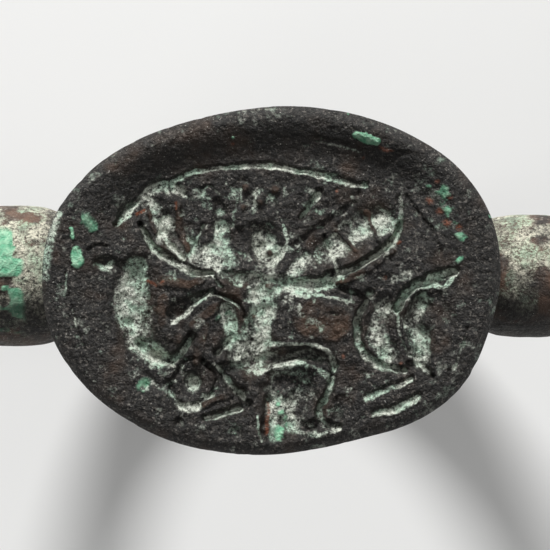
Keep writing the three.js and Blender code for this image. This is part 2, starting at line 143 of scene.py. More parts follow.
# Strokes of the engraving: depth in mm, then points of x, y and half width in mm.
SUNK = {
    "border line": (0.2, [
        (-3.9, 3.62, .16), (-3, 4.02, .17), (-2, 4.13, .17), (-1, 4.22, .17), (0, 4.26, .18),
        (1, 4.08, .18), (2, 3.83, .22), (3, 3.58, .2), (3.6, 3.48, .16),
    ]),
    "border end": (0.14, [(3.45, 3.5, .12), (3.35, 3.1, .12)]),
    "head": (0.5, [(-0.35, 1.5, .8), (-0.2, 0.85, .78)]),
    "hair": (0.24, [(-1.25, 1.5, .5), (-1.35, 0.5, .45)]),
    "small arch": (0.12, [(-2.7, 3.1, .1), (-2.6, 3.38, .12), (-2.3, 3.4, .12), (-2.05, 3.1, .1)]),
    "left lump": (0.2, [(-2.1, 2.85, .25), (-1.9, 2.5, .35)]),
    "leaf": (0.26, [(1.85, 3.25, .16), (1.5, 2.8, .2), (1.1, 2.2, .14)]),
    "round mark": (0.1, [(2.35, 2.75, .4)]),
    "left wing tip": (0.34, [(-5.9, 2.0, .16), (-5.6, 2.5, .26), (-5.1, 2.95, .2)]),
    "left wing top": (0.2, [(-4.9, 3.15, .16), (-4.5, 3.48, .18), (-3.8, 3.56, .18), (-3.35, 3.05, .16)]),
    "left wing edge": (0.46, [
        (-5.05, 2.0, .16), (-4.7, 1.35, .22), (-4.3, 0.95, .26), (-3.6, 0.5, .3), (-2.9, 0.15, .26),
        (-2.3, 0.1, .16),
    ]),
    "left quill": (0.36, [(-4.1, 2.4, .2), (-4.15, 1.9, .26), (-3.9, 1.2, .28), (-3.4, 0.68, .2)]),
    "inner quill": (0.24, [(-2.6, 1.95, .12), (-2.85, 1.4, .14), (-3.05, 0.6, .14)]),
    "right wing top": (0.18, [(0.85, 1.15, .2), (2.0, 1.95, .2), (3.1, 2.75, .2)]),
    "right wing edge": (0.5, [
        (2.1, 0.05, .2), (2.7, 0.15, .22), (3.4, 0.5, .24), (4.2, 1.0, .26), (4.75, 1.5, .22),
        (4.95, 2.1, .16),
    ]),
    "right wing root": (0.3, [(2.0, 1.55, .12), (2.2, 1.0, .14), (2.5, 0.4, .16), (2.5, 0.0, .16)]),
    "right hand": (0.3, [(2.3, -0.4, .2), (3.0, -0.6, .16), (3.5, -0.8, .2)]),
    "hand knob": (0.28, [(3.7, -0.7, .3)]),
    "left arm": (0.2, [(-2.3, 0.0, .1), (-1.9, -0.4, .12)]),
    "left forearm": (0.26, [(-2.25, -0.7, .12), (-1.6, -0.82, .16), (-1.15, -1.1, .16), (-1.0, -1.6, .14)]),
    "club": (0.34, [(-2.3, -0.55, .14), (-2.9, -0.85, .26), (-3.5, -1.25, .4), (-3.8, -1.45, .38)]),
    "left beast head": (0.26, [(-6.6, 0.5, .34), (-6.2, 0.5, .34)]),
    "left beast neck": (0.3, [(-6.1, 0.6, .2), (-5.6, 0.35, .26), (-5.1, -0.1, .3)]),
    "left beast mane": (0.14, [(-7.0, 1.0, .1), (-6.7, 1.18, .12), (-6.35, 1.12, .1)]),
    "left beast tail": (0.4, [
        (-5.05, -2.6, .3), (-4.75, -3.0, .32), (-4.3, -3.2, .32), (-3.8, -3.15, .3), (-3.4, -2.8, .28),
        (-3.1, -2.3, .22),
    ]),
    "drop": (0.36, [(-1.5, -2.3, .18), (-2.1, -2.85, .22)]),
    "right thigh": (0.42, [(-0.4, -3.3, .4), (0.3, -3.05, .45), (1.2, -2.95, .42), (1.9, -3.15, .32)]),
    "right knee": (0.36, [(1.9, -3.0, .25), (2.3, -3.3, .25), (2.35, -3.8, .24)]),
    "right shin": (0.34, [(2.35, -3.8, .24), (2.15, -4.4, .24), (1.85, -4.9, .24), (1.8, -5.4, .26)]),
    "right foot": (0.34, [(1.2, -5.7, .25), (1.9, -5.65, .28), (2.6, -5.75, .16)]),
    "left thigh": (0.4, [(-1.0, -3.4, .35), (-1.9, -3.5, .3), (-1.7, -4.0, .3), (-1.25, -4.4, .28)]),
    "left shin": (0.34, [(-1.2, -4.3, .25), (-1.1, -4.8, .22)]),
    "left foot": (0.34, [(-2.6, -5.4, .16), (-1.9, -5.2, .2), (-1.3, -5.0, .2), (-0.9, -4.85, .2)]),
    "ground slot": (0.3, [(-0.2, -4.7, .22), (-0.25, -6.2, .22)]),
    "roundel": (0.36, [(-3.0, -4.05, .52)]),
    "roundel ring": (0.22, [
        (-3.88, -4.0, .16), (-3.8, -4.6, .2), (-3.35, -4.98, .24), (-2.75, -4.92, .22), (-2.25, -4.45, .18),
        (-2.15, -3.85, .15), (-2.6, -3.25, .15), (-3.3, -3.25, .15), (-3.88, -4.0, .16),
    ]),
    "left spot": (0.16, [(-4.8, -4.25, .32)]),
    "middle spot": (0.16, [(-4.0, -4.05, .26)]),
    "low spot": (0.16, [(-3.6, -5.55, .25)]),
    "green spot": (0.16, [(-1.35, -5.95, .35)]),
    "right beast neck": (0.44, [(4.75, -1.3, .24), (5.0, -0.8, .28), (5.4, -0.4, .3), (5.9, -0.2, .3)]),
    "right beast head": (0.42, [(5.9, -0.15, .32), (6.4, 0.0, .38), (7.0, 0.25, .2)]),
    "right beast throat": (0.3, [(5.7, -0.8, .3), (6.0, -1.2, .3)]),
    "right beast back": (0.4, [
        (3.6, -0.95, .2), (3.3, -1.5, .24), (3.25, -2.1, .24), (3.4, -2.7, .26), (3.8, -3.2, .28),
        (4.4, -3.5, .26), (5.0, -3.55, .22),
    ]),
    "right beast fold": (0.2, [(4.8, -1.4, .12), (4.85, -2.2, .13), (5.1, -2.85, .14), (5.5, -3.15, .14)]),
    "right beast hock": (0.3, [(5.2, -3.3, .18), (5.8, -3.5, .22), (6.1, -3.85, .16)]),
    "tail upper": (0.14, [(3.6, -4.6, .2), (4.6, -4.2, .22), (5.3, -3.88, .18)]),
    "tail lower": (0.15, [(3.9, -5.15, .2), (4.7, -5.0, .24), (5.6, -4.55, .2)]),
    "right border": (0.14, [(5.2, 3.0, .12), (5.6, 2.4, .13), (6.1, 1.8, .13), (6.45, 0.9, .12)]),
    "right border inner": (0.14, [(4.85, 3.0, .16), (4.95, 2.3, .18)]),
    "left groove": (0.08, [
        (-7.85, 0.15, .07), (-7.8, -0.5, .08), (-7.6, -1.3, .08), (-7.45, -2.0, .08), (-7.1, -2.8, .07),
    ]),
    "right groove": (0.08, [(7.45, -2.0, .08), (7.25, -2.8, .1), (7.0, -3.4, .1), (6.7, -3.6, .08)]),
    "top gully": (0.1, [(4.2, 4.2, .2), (4.7, 4.6, .24), (5.2, 4.7, .16)]),
    "top streak": (0.1, [(1.7, 5.3, .14), (2.7, 5.05, .18), (3.4, 4.8, .14)]),
}

# Wide soft hollows, in the same form.
BASINS = {
    "headdress left": (0.16, [(-1.2, 3.5, .45), (-1.0, 2.6, .55)]),
    "headdress right": (0.14, [(0.3, 3.4, .6), (0.0, 2.8, .5)]),
    "left wing": (0.34, [
        (-4.7, 2.7, .75), (-4.2, 1.9, 1.05), (-3.4, 1.3, 1.0), (-2.5, 0.9, .9), (-1.8, 0.4, .7),
    ]),
    "left wing outer": (0.22, [(-5.6, 2.4, .5), (-4.9, 3.1, .5), (-4.1, 3.4, .45), (-3.4, 3.1, .35)]),
    "left shoulder": (0.3, [(-1.9, 1.9, .55), (-1.8, 1.0, .65)]),
    "right wing": (0.4, [(2.0, 0.8, .7), (2.9, 1.5, .95), (3.7, 2.0, 1.0), (4.5, 2.1, .7)]),
    "right shoulder": (0.3, [(1.2, 0.6, .6), (0.8, 0.1, .5)]),
    "shoulders": (0.42, [
        (-1.8, 0.1, .4), (-0.8, -0.15, .65), (0.4, -0.25, .6), (1.3, -0.3, .42), (2.4, -0.25, .35),
    ]),
    "torso": (0.48, [(-0.3, -0.4, .95), (-0.35, -1.3, .8), (-0.55, -2.2, .85), (-0.7, -3.2, .8)]),
    "inner pools": (0.36, [(-1.7, -1.3, .55), (-1.5, -2.2, .6), (-1.4, -3.0, .55)]),
    "left beast": (0.5, [
        (-5.2, 0.3, .75), (-5.3, -0.5, 1.0), (-5.25, -1.5, 1.1), (-5.0, -2.4, .9), (-4.4, -3.1, .6),
    ]),
    "right beast hollow": (0.3, [(4.3, -1.3, .75), (4.1, -2.3, .85), (4.5, -3.0, .7)]),
    "right beast body": (0.4, [(5.7, -0.9, .5), (5.4, -1.7, .6), (5.6, -2.5, .75), (5.7, -3.1, .6)]),
    "right head hollow": (0.22, [(6.3, -0.9, .6), (6.7, -1.6, .5)]),
    "under thigh": (0.42, [(0.3, -4.0, .7), (1.1, -4.0, .75), (1.0, -4.8, .7), (0.7, -5.6, .7)]),
    "beside foot": (0.24, [(2.6, -4.9, .6), (2.5, -5.4, .4)]),
    "ground": (0.34, [(0.0, -4.4, .6), (0.2, -5.4, .6), (0.2, -6.1, .5)]),
    "coil hollow": (0.2, [(-3.0, -4.1, 1.1)]),
    "left low hollow": (0.12, [(-4.8, -4.2, .6), (-4.0, -4.1, .5)]),
}

# Places with little deposit on the metal: how far the deposit is kept off, from 0 to 1, then points. The
# marks above the head and along the right wing's upper edge keep it off slopes that lie in shade: painted
# shade.
BARE_AND_SHADE = {
    "under thigh": (1.0, [(0.4, -4.0, .7), (1.3, -4.1, .7)]),
    "beside shin": (0.9, [(1.3, -4.7, .5), (1.0, -5.3, .35)]),
    "beside foot": (0.8, [(2.6, -4.9, .6), (2.5, -5.4, .4)]),
    "shade above head": (0.8, [(-1.3, 2.2, .3), (-0.3, 2.35, .35), (0.9, 2.1, .4), (1.3, 1.3, .35)]),
    "wing shadow": (0.8, [(0.9, 0.9, .3), (1.9, 1.7, .3), (3.0, 2.5, .3)]),
    "left wing cells": (0.85, [(-3.55, 2.6, .45), (-3.55, 1.4, .4)]),
    "left wing outer cell": (0.8, [(-4.9, 2.5, .35), (-4.6, 1.8, .25)]),
    "left wing inner cell": (0.85, [(-2.5, 1.7, .35), (-2.6, 0.8, .3)]),
    "right wing cells": (0.8, [(2.8, 1.7, .4), (3.9, 2.45, .4)]),
    "right wing low cells": (0.7, [(2.9, 0.9, .28), (3.7, 1.45, .3)]),
    "beast gap": (0.7, [(6.2, -1.0, .45), (6.4, -1.6, .4)]),
    "beast fold": (0.6, [(4.5, -1.6, .25), (4.6, -2.6, .25)]),
    "headdress": (0.7, [(-1.2, 3.1, .6), (-0.3, 3.0, .6), (0.5, 3.1, .5)]),
    "club inside": (0.4, [(-2.6, -0.65, .15), (-3.5, -1.1, .25)]),
}

# Ridges and swellings that stand up from the cuts: height in mm, then points.
RAISED = {
    "bar under wing": (0.16, [(2.5, -0.3, .16), (3.6, 0.25, .2), (4.6, 0.95, .2)]),
    "left ridge": (0.2, [(-2.5, -1.9, .2), (-2.75, -2.6, .25), (-2.85, -3.3, .22)]),
    "low ridge": (0.16, [(-2.6, -4.9, .18), (-1.6, -4.45, .2)]),
    "face swell": (0.12, [(-0.1, 0.9, .35)]),
    "chest left": (0.1, [(-1.0, -0.35, .28)]),
    "chest right": (0.1, [(-0.1, -0.35, .3)]),
    "left wing rib": (0.14, [(-4.7, 2.6, .14), (-4.5, 1.7, .16)]),
    "left wing inner rib": (0.16, [(-3.6, 2.7, .2), (-3.55, 1.9, .2), (-3.2, 1.0, .18)]),
    "right wing rib": (0.15, [(2.5, 1.75, .16), (3.2, 0.95, .14)]),
    "right wing outer rib": (0.15, [(3.6, 2.4, .18), (4.1, 1.4, .15)]),
    "plateau": (0.24, [(1.5, -1.6, 1.05), (2.3, -1.8, .95)]),
    "headdress lump 1": (0.14, [(-1.05, 3.35, .28)]),
    "headdress lump 2": (0.13, [(-0.5, 2.85, .26)]),
    "headdress lump 3": (0.13, [(0.1, 3.35, .28)]),
    "headdress lump 4": (0.11, [(-1.1, 2.6, .2)]),
    "beast ridge": (0.18, [(-4.1, -0.9, .3), (-4.05, -2.0, .35), (-3.6, -2.4, .3)]),
    "arm ridge": (0.14, [(-4.2, -0.2, .3), (-3.2, -0.35, .3), (-2.6, -0.1, .2)]),
    "club ridge": (0.16, [(-3.0, -1.9, .3), (-2.2, -1.2, .25)]),
    "thigh swell": (0.12, [(0.2, -2.85, .2), (1.2, -2.75, .2)]),
}

# Pale deposit that lies on the face: strength from 0 to 1, then points. Many of its marks lie on the lower
# walls of the cuts, which face the key lamp, and the left fillet lies on the lit upper left edge: there it
# is partly painted highlight.
PALE = {
    "border line": (1.0, [
        (-3.8, 3.6, .14), (-3, 3.96, .14), (-2, 4.08, .12), (-1, 4.17, .14), (0, 4.2, .16), (1, 4.02, .15),
        (2, 3.76, .2), (3, 3.5, .18), (3.6, 3.42, .14),
    ]),
    "head rim": (1.0, [(0.42, 1.9, .1), (0.55, 1.4, .12), (0.45, 0.95, .14), (0.1, 0.5, .2)]),
    "cheek": (1.0, [(-0.35, 1.35, .6), (-0.1, 0.9, .7)]),
    "nose": (0.4, [(-0.5, 0.3, .5)]),
    "leaf": (1.0, [(1.8, 3.1, .12), (1.45, 2.7, .15), (1.1, 2.2, .1)]),
    "small arch": (0.9, [(-2.65, 3.1, .08), (-2.5, 3.4, .08), (-2.25, 3.38, .08), (-2.0, 3.1, .08)]),
    "plateau edge": (1.0, [(0.5, -0.78, .1), (1.5, -0.72, .1), (2.3, -0.85, .1), (3.1, -0.98, .12)]),
    "right arm": (1.0, [(0.4, -0.5, .2), (1.4, -0.55, .16), (2.3, -0.4, .2), (2.6, -0.1, .2)]),
    "hand knob": (0.8, [(3.7, -0.75, .25)]),
    "left wing tip": (1.0, [(-5.85, 1.95, .12), (-5.5, 2.35, .2), (-5.1, 2.85, .16)]),
    "left wing edge": (1.0, [
        (-5.0, 1.85, .12), (-4.65, 1.25, .18), (-4.2, 0.8, .2), (-3.6, 0.4, .22), (-2.8, 0.08, .2),
        (-2.3, 0.05, .12),
    ]),
    "left quill": (0.9, [(-4.15, 2.0, .22), (-3.95, 1.3, .22), (-3.45, 0.65, .18)]),
    "left wing top": (0.7, [(-4.8, 3.25, .1), (-4.4, 3.5, .1), (-3.8, 3.55, .1), (-3.35, 3.05, .1)]),
    "inner quill": (0.8, [(-2.6, 1.95, .08), (-2.9, 1.3, .08), (-3.1, 0.6, .1)]),
    "left root": (0.6, [(-1.9, 1.9, .3), (-2.0, 1.2, .3), (-1.4, 0.5, .3)]),
    "right wing edge": (1.0, [
        (2.5, 0.0, .16), (3.3, 0.35, .16), (4.15, 0.85, .18), (4.75, 1.4, .18), (4.95, 2.2, .18),
        (4.9, 3.0, .14),
    ]),
    "right wing field": (0.5, [(3.0, 1.6, .5), (4.0, 2.1, .5)]),
    "right root": (0.8, [(2.1, 1.4, .08), (2.3, 0.7, .1), (2.5, 0.1, .14)]),
    "right beast neck": (1.0, [
        (4.75, -1.4, .2), (5.0, -0.9, .24), (5.5, -0.45, .22), (6.1, -0.3, .2), (6.6, -0.4, .14),
        (7.05, 0.15, .12),
    ]),
    "right beast head": (0.8, [(6.0, -0.05, .25), (6.9, 0.2, .2)]),
    "right beast back": (1.0, [
        (3.55, -1.0, .14), (3.25, -1.6, .18), (3.25, -2.3, .18), (3.6, -3.05, .2), (4.2, -3.5, .2),
        (5.0, -3.62, .18),
    ]),
    "right beast body": (0.7, [(5.5, -2.3, .3), (5.8, -3.0, .3)]),
    "right beast fold": (0.8, [(4.8, -1.5, .08), (4.9, -2.3, .08), (5.3, -3.05, .1), (6.0, -3.7, .14)]),
    "tail upper": (0.85, [(3.6, -4.66, .16), (4.6, -4.26, .18), (5.3, -3.96, .16)]),
    "tail lower": (0.95, [(3.9, -5.22, .18), (4.7, -5.08, .22), (5.6, -4.65, .18)]),
    "left beast": (0.8, [(-5.3, 0.1, .4), (-5.3, -0.9, .45), (-5.3, -2.0, .4)]),
    "left beast head": (0.9, [(-6.75, 0.4, .16), (-6.4, 0.25, .18), (-6.1, 0.5, .16)]),
    "left beast tail": (1.0, [
        (-5.0, -2.75, .18), (-4.7, -3.15, .18), (-4.3, -3.38, .16), (-3.85, -3.3, .16), (-3.45, -2.95, .16),
        (-3.15, -2.5, .16),
    ]),
    "club": (1.0, [
        (-2.35, -0.68, .1), (-2.95, -1.1, .14), (-3.45, -1.6, .16), (-3.85, -1.8, .14), (-4.1, -1.55, .1),
    ]),
    "left arm": (0.7, [(-2.3, 0.0, .06), (-1.9, -0.4, .07)]),
    "left forearm": (0.8, [(-2.25, -0.78, .07), (-1.6, -0.92, .08), (-1.15, -1.2, .09)]),
    "torso": (0.8, [(-0.3, -0.6, .5), (-0.3, -1.8, .4), (-0.5, -2.7, .35)]),
    "right thigh": (0.9, [
        (0.0, -2.6, .14), (1.0, -2.6, .12), (1.7, -2.65, .12), (2.2, -2.95, .14), (2.4, -3.6, .14),
    ]),
    "thigh floor": (1.0, [
        (-0.6, -3.7, .2), (0.3, -3.45, .2), (1.0, -3.3, .18), (1.6, -3.5, .16), (2.1, -3.8, .16),
    ]),
    "right shin": (0.9, [
        (2.35, -3.9, .16), (2.05, -4.6, .16), (1.8, -5.1, .16), (2.0, -5.7, .2), (2.6, -5.85, .12),
    ]),
    "ground": (0.9, [(1.0, -5.95, .16), (1.8, -6.0, .16), (2.6, -5.85, .12)]),
    "left thigh": (0.9, [(-2.2, -3.3, .1), (-1.8, -3.8, .14), (-1.4, -4.3, .16), (-1.1, -4.6, .16)]),
    "left foot": (1.0, [(-2.55, -5.45, .1), (-1.9, -5.3, .12), (-1.2, -5.05, .12)]),
    "roundel": (1.0, [(-3.0, -4.15, .42)]),
    "roundel ring": (1.0, [
        (-3.85, -4.5, .16), (-3.35, -5.0, .24), (-2.75, -4.95, .22), (-2.25, -4.5, .16),
    ]),
    "drop": (0.8, [(-1.5, -2.35, .1), (-2.05, -2.9, .16)]),
    "ground slot": (0.9, [(-0.55, -5.3, .07), (-0.35, -6.3, .09)]),
    "left fillet": (0.9, [(-8.1, 2.4, .2), (-8.5, 1.2, .28), (-8.65, 0.0, .25)]),
    "left groove": (0.7, [(-7.8, 0.1, .06), (-7.8, -0.5, .07)]),
    "left groove low": (0.7, [(-7.6, -1.3, .06), (-7.45, -2.0, .06)]),
    "right groove": (0.7, [(7.35, -2.3, .07), (7.2, -2.9, .09), (6.9, -3.5, .09)]),
    "top streak": (0.5, [(1.7, 5.2, .08), (2.7, 4.95, .1), (3.4, 4.75, .08)]),
    "left spots": (0.5, [(-4.8, -4.3, .25)]),
    "middle spot": (0.6, [(-4.0, -4.1, .2)]),
    "headdress": (0.35, [(-1.0, 3.1, .5), (0.3, 3.0, .5)]),
    "left lump": (0.6, [(-1.9, 2.45, .25)]),
}

# Green copper crust that stands up from the face: height in mm, then points.
GREEN = {
    "left main": (0.16, [(-7.45, 0.98, .3), (-7.42, 0.62, .38)]),
    "left upper": (0.1, [(-7.62, 1.85, .16), (-7.6, 1.5, .14)]),
    "top crust": (0.18, [(3.25, 5.42, .24), (3.6, 5.25, .34), (4.05, 5.1, .22)]),
    "top spot": (0.08, [(-1.55, 5.3, .1)]),
    "right vein": (0.055, [
        (6.0, 3.35, .3), (6.6, 3.2, .4), (6.6, 2.7, .3), (6.9, 2.35, .4), (6.95, 1.8, .3), (7.3, 1.3, .3),
    ]),
    "right ring": (0.07, [(7.1, 0.65, .26)]),
    "left edge": (0.045, [(-7.1, 2.2, .45), (-6.7, 1.8, .5)]),
    "left spot": (0.06, [(-4.85, -4.2, .45)]),
    "middle spot": (0.05, [(-4.0, -4.15, .4)]),
    "edge right": (0.06, [(8.2, 2.7, .1), (8.35, 2.2, .08)]),
    "edge top": (0.06, [(2.9, 6.2, .12)]),
    "ground pool": (0.07, [(0.25, -4.4, .35), (0.35, -5.3, .4), (0.3, -6.1, .35)]),
    "low spot": (0.04, [(-1.35, -5.95, .22)]),
    "arm pool": (0.03, [(-1.6, -1.4, .2), (-2.3, -1.7, .2)]),
    "inner pool": (0.03, [(-1.4, -2.4, .3)]),
    "hair": (0.03, [(-1.3, 1.0, .3)]),
}

# Red copper oxide spots: strength from 0 to 1, then points.
RED = {
    "wing": (1.0, [(-5.15, 2.35, .08), (-4.85, 2.5, .08)]),
    "wing top": (0.9, [(-3.72, 2.8, .08), (-3.7, 2.5, .05)]),
    "chest": (0.8, [(-4.7, -0.15, .1), (-4.4, -0.35, .08)]),
    "chest right": (0.8, [(-4.15, -0.25, .1)]),
    "round mark": (0.8, [(2.45, 3.25, .1)]),
    "top": (0.9, [(-1.55, 5.05, .1)]),
    "top right": (0.8, [(4.2, 4.85, .12), (4.6, 4.75, .08)]),
    "streak end": (0.7, [(3.5, 4.5, .1)]),
    "wing edge": (0.9, [(4.85, 1.3, .12)]),
    "bar": (0.7, [(4.3, -0.1, .12)]),
    "torso": (0.7, [(-0.65, -1.55, .1)]),
    "knee": (0.7, [(2.7, -3.05, .1)]),
    "hock": (0.7, [(4.9, -3.3, .09)]),
    "slot": (0.8, [(-0.15, -4.8, .1), (-0.15, -6.0, .1)]),
    "right lump 1": (0.9, [(6.05, 2.9, .2)]),
    "right lump 2": (0.9, [(6.4, 2.5, .2)]),
    "right lump 3": (0.8, [(6.75, 3.0, .16)]),
    "right lump 4": (0.9, [(6.65, 2.05, .22)]),
    "right lump 5": (0.9, [(7.1, 1.85, .2)]),
    "right lump 6": (0.8, [(6.3, 3.6, .16)]),
    "edge": (0.7, [(-3.6, 5.85, .14)]),
}

# The beetle's lines, in the same form. On its back, the points are x and y.
BACK_LINES = {
    "shoulder line": (0.22, [(-1.5, -5.4, .16), (-1.5, 0, .16), (-1.5, 5.4, .16)]),
    "neck line": (0.2, [(-4.5, -4.4, .15), (-4.35, 0, .16), (-4.5, 4.4, .15)]),
    "suture": (0.22, [(-1.5, 0, .14), (7, 0, .12)]),
    "left shoulder notch": (0.2, [(-1.4, -3.9, .14), (-0.5, -3.2, .12), (-1.4, -2.7, .12)]),
    "right shoulder notch": (0.2, [(-1.4, 3.9, .14), (-0.5, 3.2, .12), (-1.4, 2.7, .12)]),
    "left eye": (0.14, [(-5.3, -2.1, .1), (-5.0, -2.5, .1), (-5.3, -2.9, .1)]),
    "right eye": (0.14, [(-5.3, 2.1, .1), (-5.0, 2.5, .1), (-5.3, 2.9, .1)]),
    "head plate": (0.14, [
        (-5.9, -1.1, .1), (-5.2, -0.5, .1), (-4.6, 0, .1), (-5.2, 0.5, .1), (-5.9, 1.1, .1),
    ]),
    "clypeus left": (0.12, [(-6.9, -0.7, .1), (-6.1, -0.6, .08)]),
    "clypeus right": (0.12, [(-6.9, 0.7, .1), (-6.1, 0.6, .08)]),
}

# On its sides, they are x and the height over the beetle's base.
SIDE_LINES = {
    "plinth line": (0.2, [(-6.8, 0.8, .13), (6.8, 0.8, .13)]),
    "front leg": (0.3, [(-5.2, 1.3, .18), (-3.6, 1.5, .18), (-2.0, 3.2, .18)]),
    "front leg end": (0.25, [(-3.6, 1.5, .16), (-2.4, 1.2, .16)]),
    "middle leg": (0.3, [(-1.4, 3.6, .18), (-0.2, 1.7, .18), (1.6, 1.2, .18)]),
    "back leg": (0.3, [(0.8, 3.5, .18), (3.2, 2.3, .18), (5.2, 1.3, .18)]),
    "back leg end": (0.25, [(3.2, 2.3, .16), (2.6, 1.2, .16)]),
}

# The level of the beetle's base over the pin.
SCARAB_BASE = 2.94

# The ribs on its wing cases, and the ranges of x and of the distance from the suture where they fade in
# and out.
RIB_SPACING = 0.62
RIB_DEPTH = 0.055
RIBBED_X = (-1.1, -0.7)
RIBBED_FROM = (0.12, 0.35)
RIBBED_TO = (4.8, 4.2)

# The hatching on its legs, and the heights over its base where it fades in and out.
HATCH_SPACING = 0.34
HATCH_LEAN = 0.6
HATCH_DEPTH = 0.04
HATCHED_FROM = (0.6, 0.9)
HATCHED_TO = (3.5, 3.2)

# The noise: values along each side of its table, the shift between octaves, and how far three reach.
LATTICE = 32
OCTAVE_SHIFT = 7.3
NOISE_REACH = 1.6


def smooth(low, high, value):
    """Rises from 0 at low to 1 at high in a soft curve, or falls where high is less than low."""
    t = np.clip((value - low) / (high - low), 0, 1)
    return t * t * (3 - 2 * t)


def lerp(a, b, t):
    """The value that lies a share t of the way from a to b."""
    return a + (b - a) * t


def curve_point(before, start, end, after, t):
    """A point between start and end on a smooth curve that also runs through their neighbours."""
    bend = 2 * before - 5 * start + 4 * end - after + t * (3 * start - before - 3 * end + after)
    return start + t * (end - before + t * bend) / 2


def lumps(points, size, seed, octaves=3):
    """Seeded noise, from about -1 to 1, with one lump to each "size" millimetres and finer ones on it."""
    total = np.zeros(len(points))
    strength = 1.0
    for octave in range(octaves):
        table = np.random.default_rng(seed + octave).uniform(-1, 1, (LATTICE, LATTICE, LATTICE))
        place = points / size * 2 ** octave + OCTAVE_SHIFT * (octave + 1)
        cell = np.floor(place).astype(int)
        part = smooth(0, 1, place - cell)
        value = np.zeros(len(points))
        for corner in np.ndindex(2, 2, 2):
            weight = 1.0
            for axis, far in enumerate(corner):
                weight = weight * (part[:, axis] if far else 1 - part[:, axis])
            i, j, k = ((cell + corner) % LATTICE).T
            value += weight * table[i, j, k]
        total += strength * value
        strength *= 0.5
    return total / NOISE_REACH


def pitting(points, size, seed):
    """Small corrosion pits, from 0 to 1."""
    return smooth(0.5, 0.8, lumps(points, size, seed, octaves=2))


def stroke_share(path, x, y):
    """How far into a stroke each point is: 1 on its line, and 0 at its half width and beyond."""
    share = np.zeros_like(x)
    for start, end in zip(path, path[1:] or path):
        ax, ay, half_a = start
        bx, by, half_b = end
        length_squared = (bx - ax) ** 2 + (by - ay) ** 2 or 1.0
        t = np.clip(((x - ax) * (bx - ax) + (y - ay) * (by - ay)) / length_squared, 0, 1)
        away = np.hypot(x - lerp(ax, bx, t), y - lerp(ay, by, t)) / lerp(half_a, half_b, t)
        share = np.maximum(share, 1 - away)
    return share


def curved(path, steps=4):
    """The stroke's points with more between them, on a smooth curve through them all."""
    if len(path) < 3:
        return path
    points = np.array([path[0]] + path + [path[-1]])
    result = []
    for neighbours in zip(points, points[1:], points[2:], points[3:]):
        result += [curve_point(*neighbours, t) for t in np.arange(steps) / steps]
    return result + [points[-1]]


def groove_profile(share):
    """A round-bottomed cut with steep walls."""
    return np.sqrt(np.clip(1 - (1 - share) ** GROOVE_FLATNESS, 0, 1)) * smooth(0, GROOVE_WALL, share)


def soft_profile(share):
    """A mark that fades out evenly to its edge."""
    return smooth(0, SOFT_WALL, share)


def strongest(strokes, x, y, profile=soft_profile):
    """The strength of a table's strongest stroke at each point, where strokes have the profile's section."""
    result = np.zeros_like(x)
    for strength, path in strokes.values():
        path = curved(path)
        reach = max(half_width for _, _, half_width in path)
        low_x, low_y = np.min([(px, py) for px, py, _ in path], axis=0) - reach
        high_x, high_y = np.max([(px, py) for px, py, _ in path], axis=0) + reach
        near = (x > low_x) & (x < high_x) & (y > low_y) & (y < high_y)
        share = stroke_share(path, x[near], y[near])
        result[near] = np.maximum(result[near], strength * profile(share))
    return result


def seal_edge(angle):
    """Distance from the seal's middle to its edge in each direction."""
    turn = (angle / (2 * np.pi) * len(SEAL_EDGE)) % len(SEAL_EDGE)
    start = np.floor(turn).astype(int)
    neighbours = (SEAL_EDGE[(start + step) % len(SEAL_EDGE)] for step in (-1, 0, 1, 2))
    return curve_point(*neighbours, turn - start)


def wavering(value, points, seed):
    """Coordinates that are moved a little, so that the strokes' edges come out uneven."""
    value = value + WIDE_WAVER * lumps(points, size=0.9, seed=seed)
    return value + FINE_WAVER * lumps(points, size=0.28, seed=seed + 2)


def clumped(crust, points):
    """The green crust's height, broken into clumps where it is thin and dented where it is thick."""
    clumps = smooth(-0.25, 0.25, lumps(points, size=0.32, seed=83))
    return crust * lerp(clumps, 0.5 + 0.5 * clumps, smooth(*THICK_GREEN, crust))


def face_marks(x, y, points):
    """What the tables of strokes give at each point: depths and heights in mm, and strengths."""
    x = wavering(x, points, seed=11)
    y = wavering(y, points, seed=23)
    # Corrosion has made the cuts unevenly deep.
    uneven = 0.92 + 0.35 * lumps(points, size=0.42, seed=47)
    return SimpleNamespace(
        basin=strongest(BASINS, x, y) * uneven,
        groove=strongest(SUNK, x, y, groove_profile) * uneven,
        rise=strongest(RAISED, x, y),
        green=clumped(strongest(GREEN, x, y), points),
        pale=strongest(PALE, x, y),
        bare_and_shade=strongest(BARE_AND_SHADE, x, y),
        red=strongest(RED, x, y),
    )


def face_noise(points):
    """The noises of the corroded face, from coarse swellings to fine grain."""
    return SimpleNamespace(
        coarse=lumps(points, size=1.1, seed=31),
        grain=lumps(points, size=0.28, seed=41),
        pits=pitting(points, size=0.22, seed=53),
        scour=lumps(points, size=0.55, seed=67),
    )


def texture_depth(noise, worked):
    """Depth of the corroded texture, which is strongest in the worked oval."""
    depth = COARSE_HEIGHT * noise.coarse + (GRAIN_HEIGHT + WORKED_GRAIN_HEIGHT * worked) * noise.grain
    return depth + WORKED_SCOUR_HEIGHT * worked * noise.scour + PIT_DEPTH * noise.pits


def face_drop(inside, upper, worked, marks, noise):
    """How far each point of the face lies below the plate's own face."""
    edge = EDGE_DROP * (1 - np.clip(inside / EDGE_BAND, 0, 1)) ** EDGE_ROUNDING
    slope = smooth(lerp(*FIELD_START, upper), lerp(*FIELD_END, upper), inside)
    field = lerp(*FIELD_DEPTH, upper) * slope
    cut = np.maximum(marks.groove, marks.basin) + CROSSING_SHARE * np.minimum(marks.groove, marks.basin)
    relief = cut * lerp(*CUT_SHARE, upper) - marks.rise
    drop = FACE_SINK + edge + np.maximum(field + relief, 0) + texture_depth(noise, worked) - marks.green
    return np.maximum(drop, LEAST_SINK)


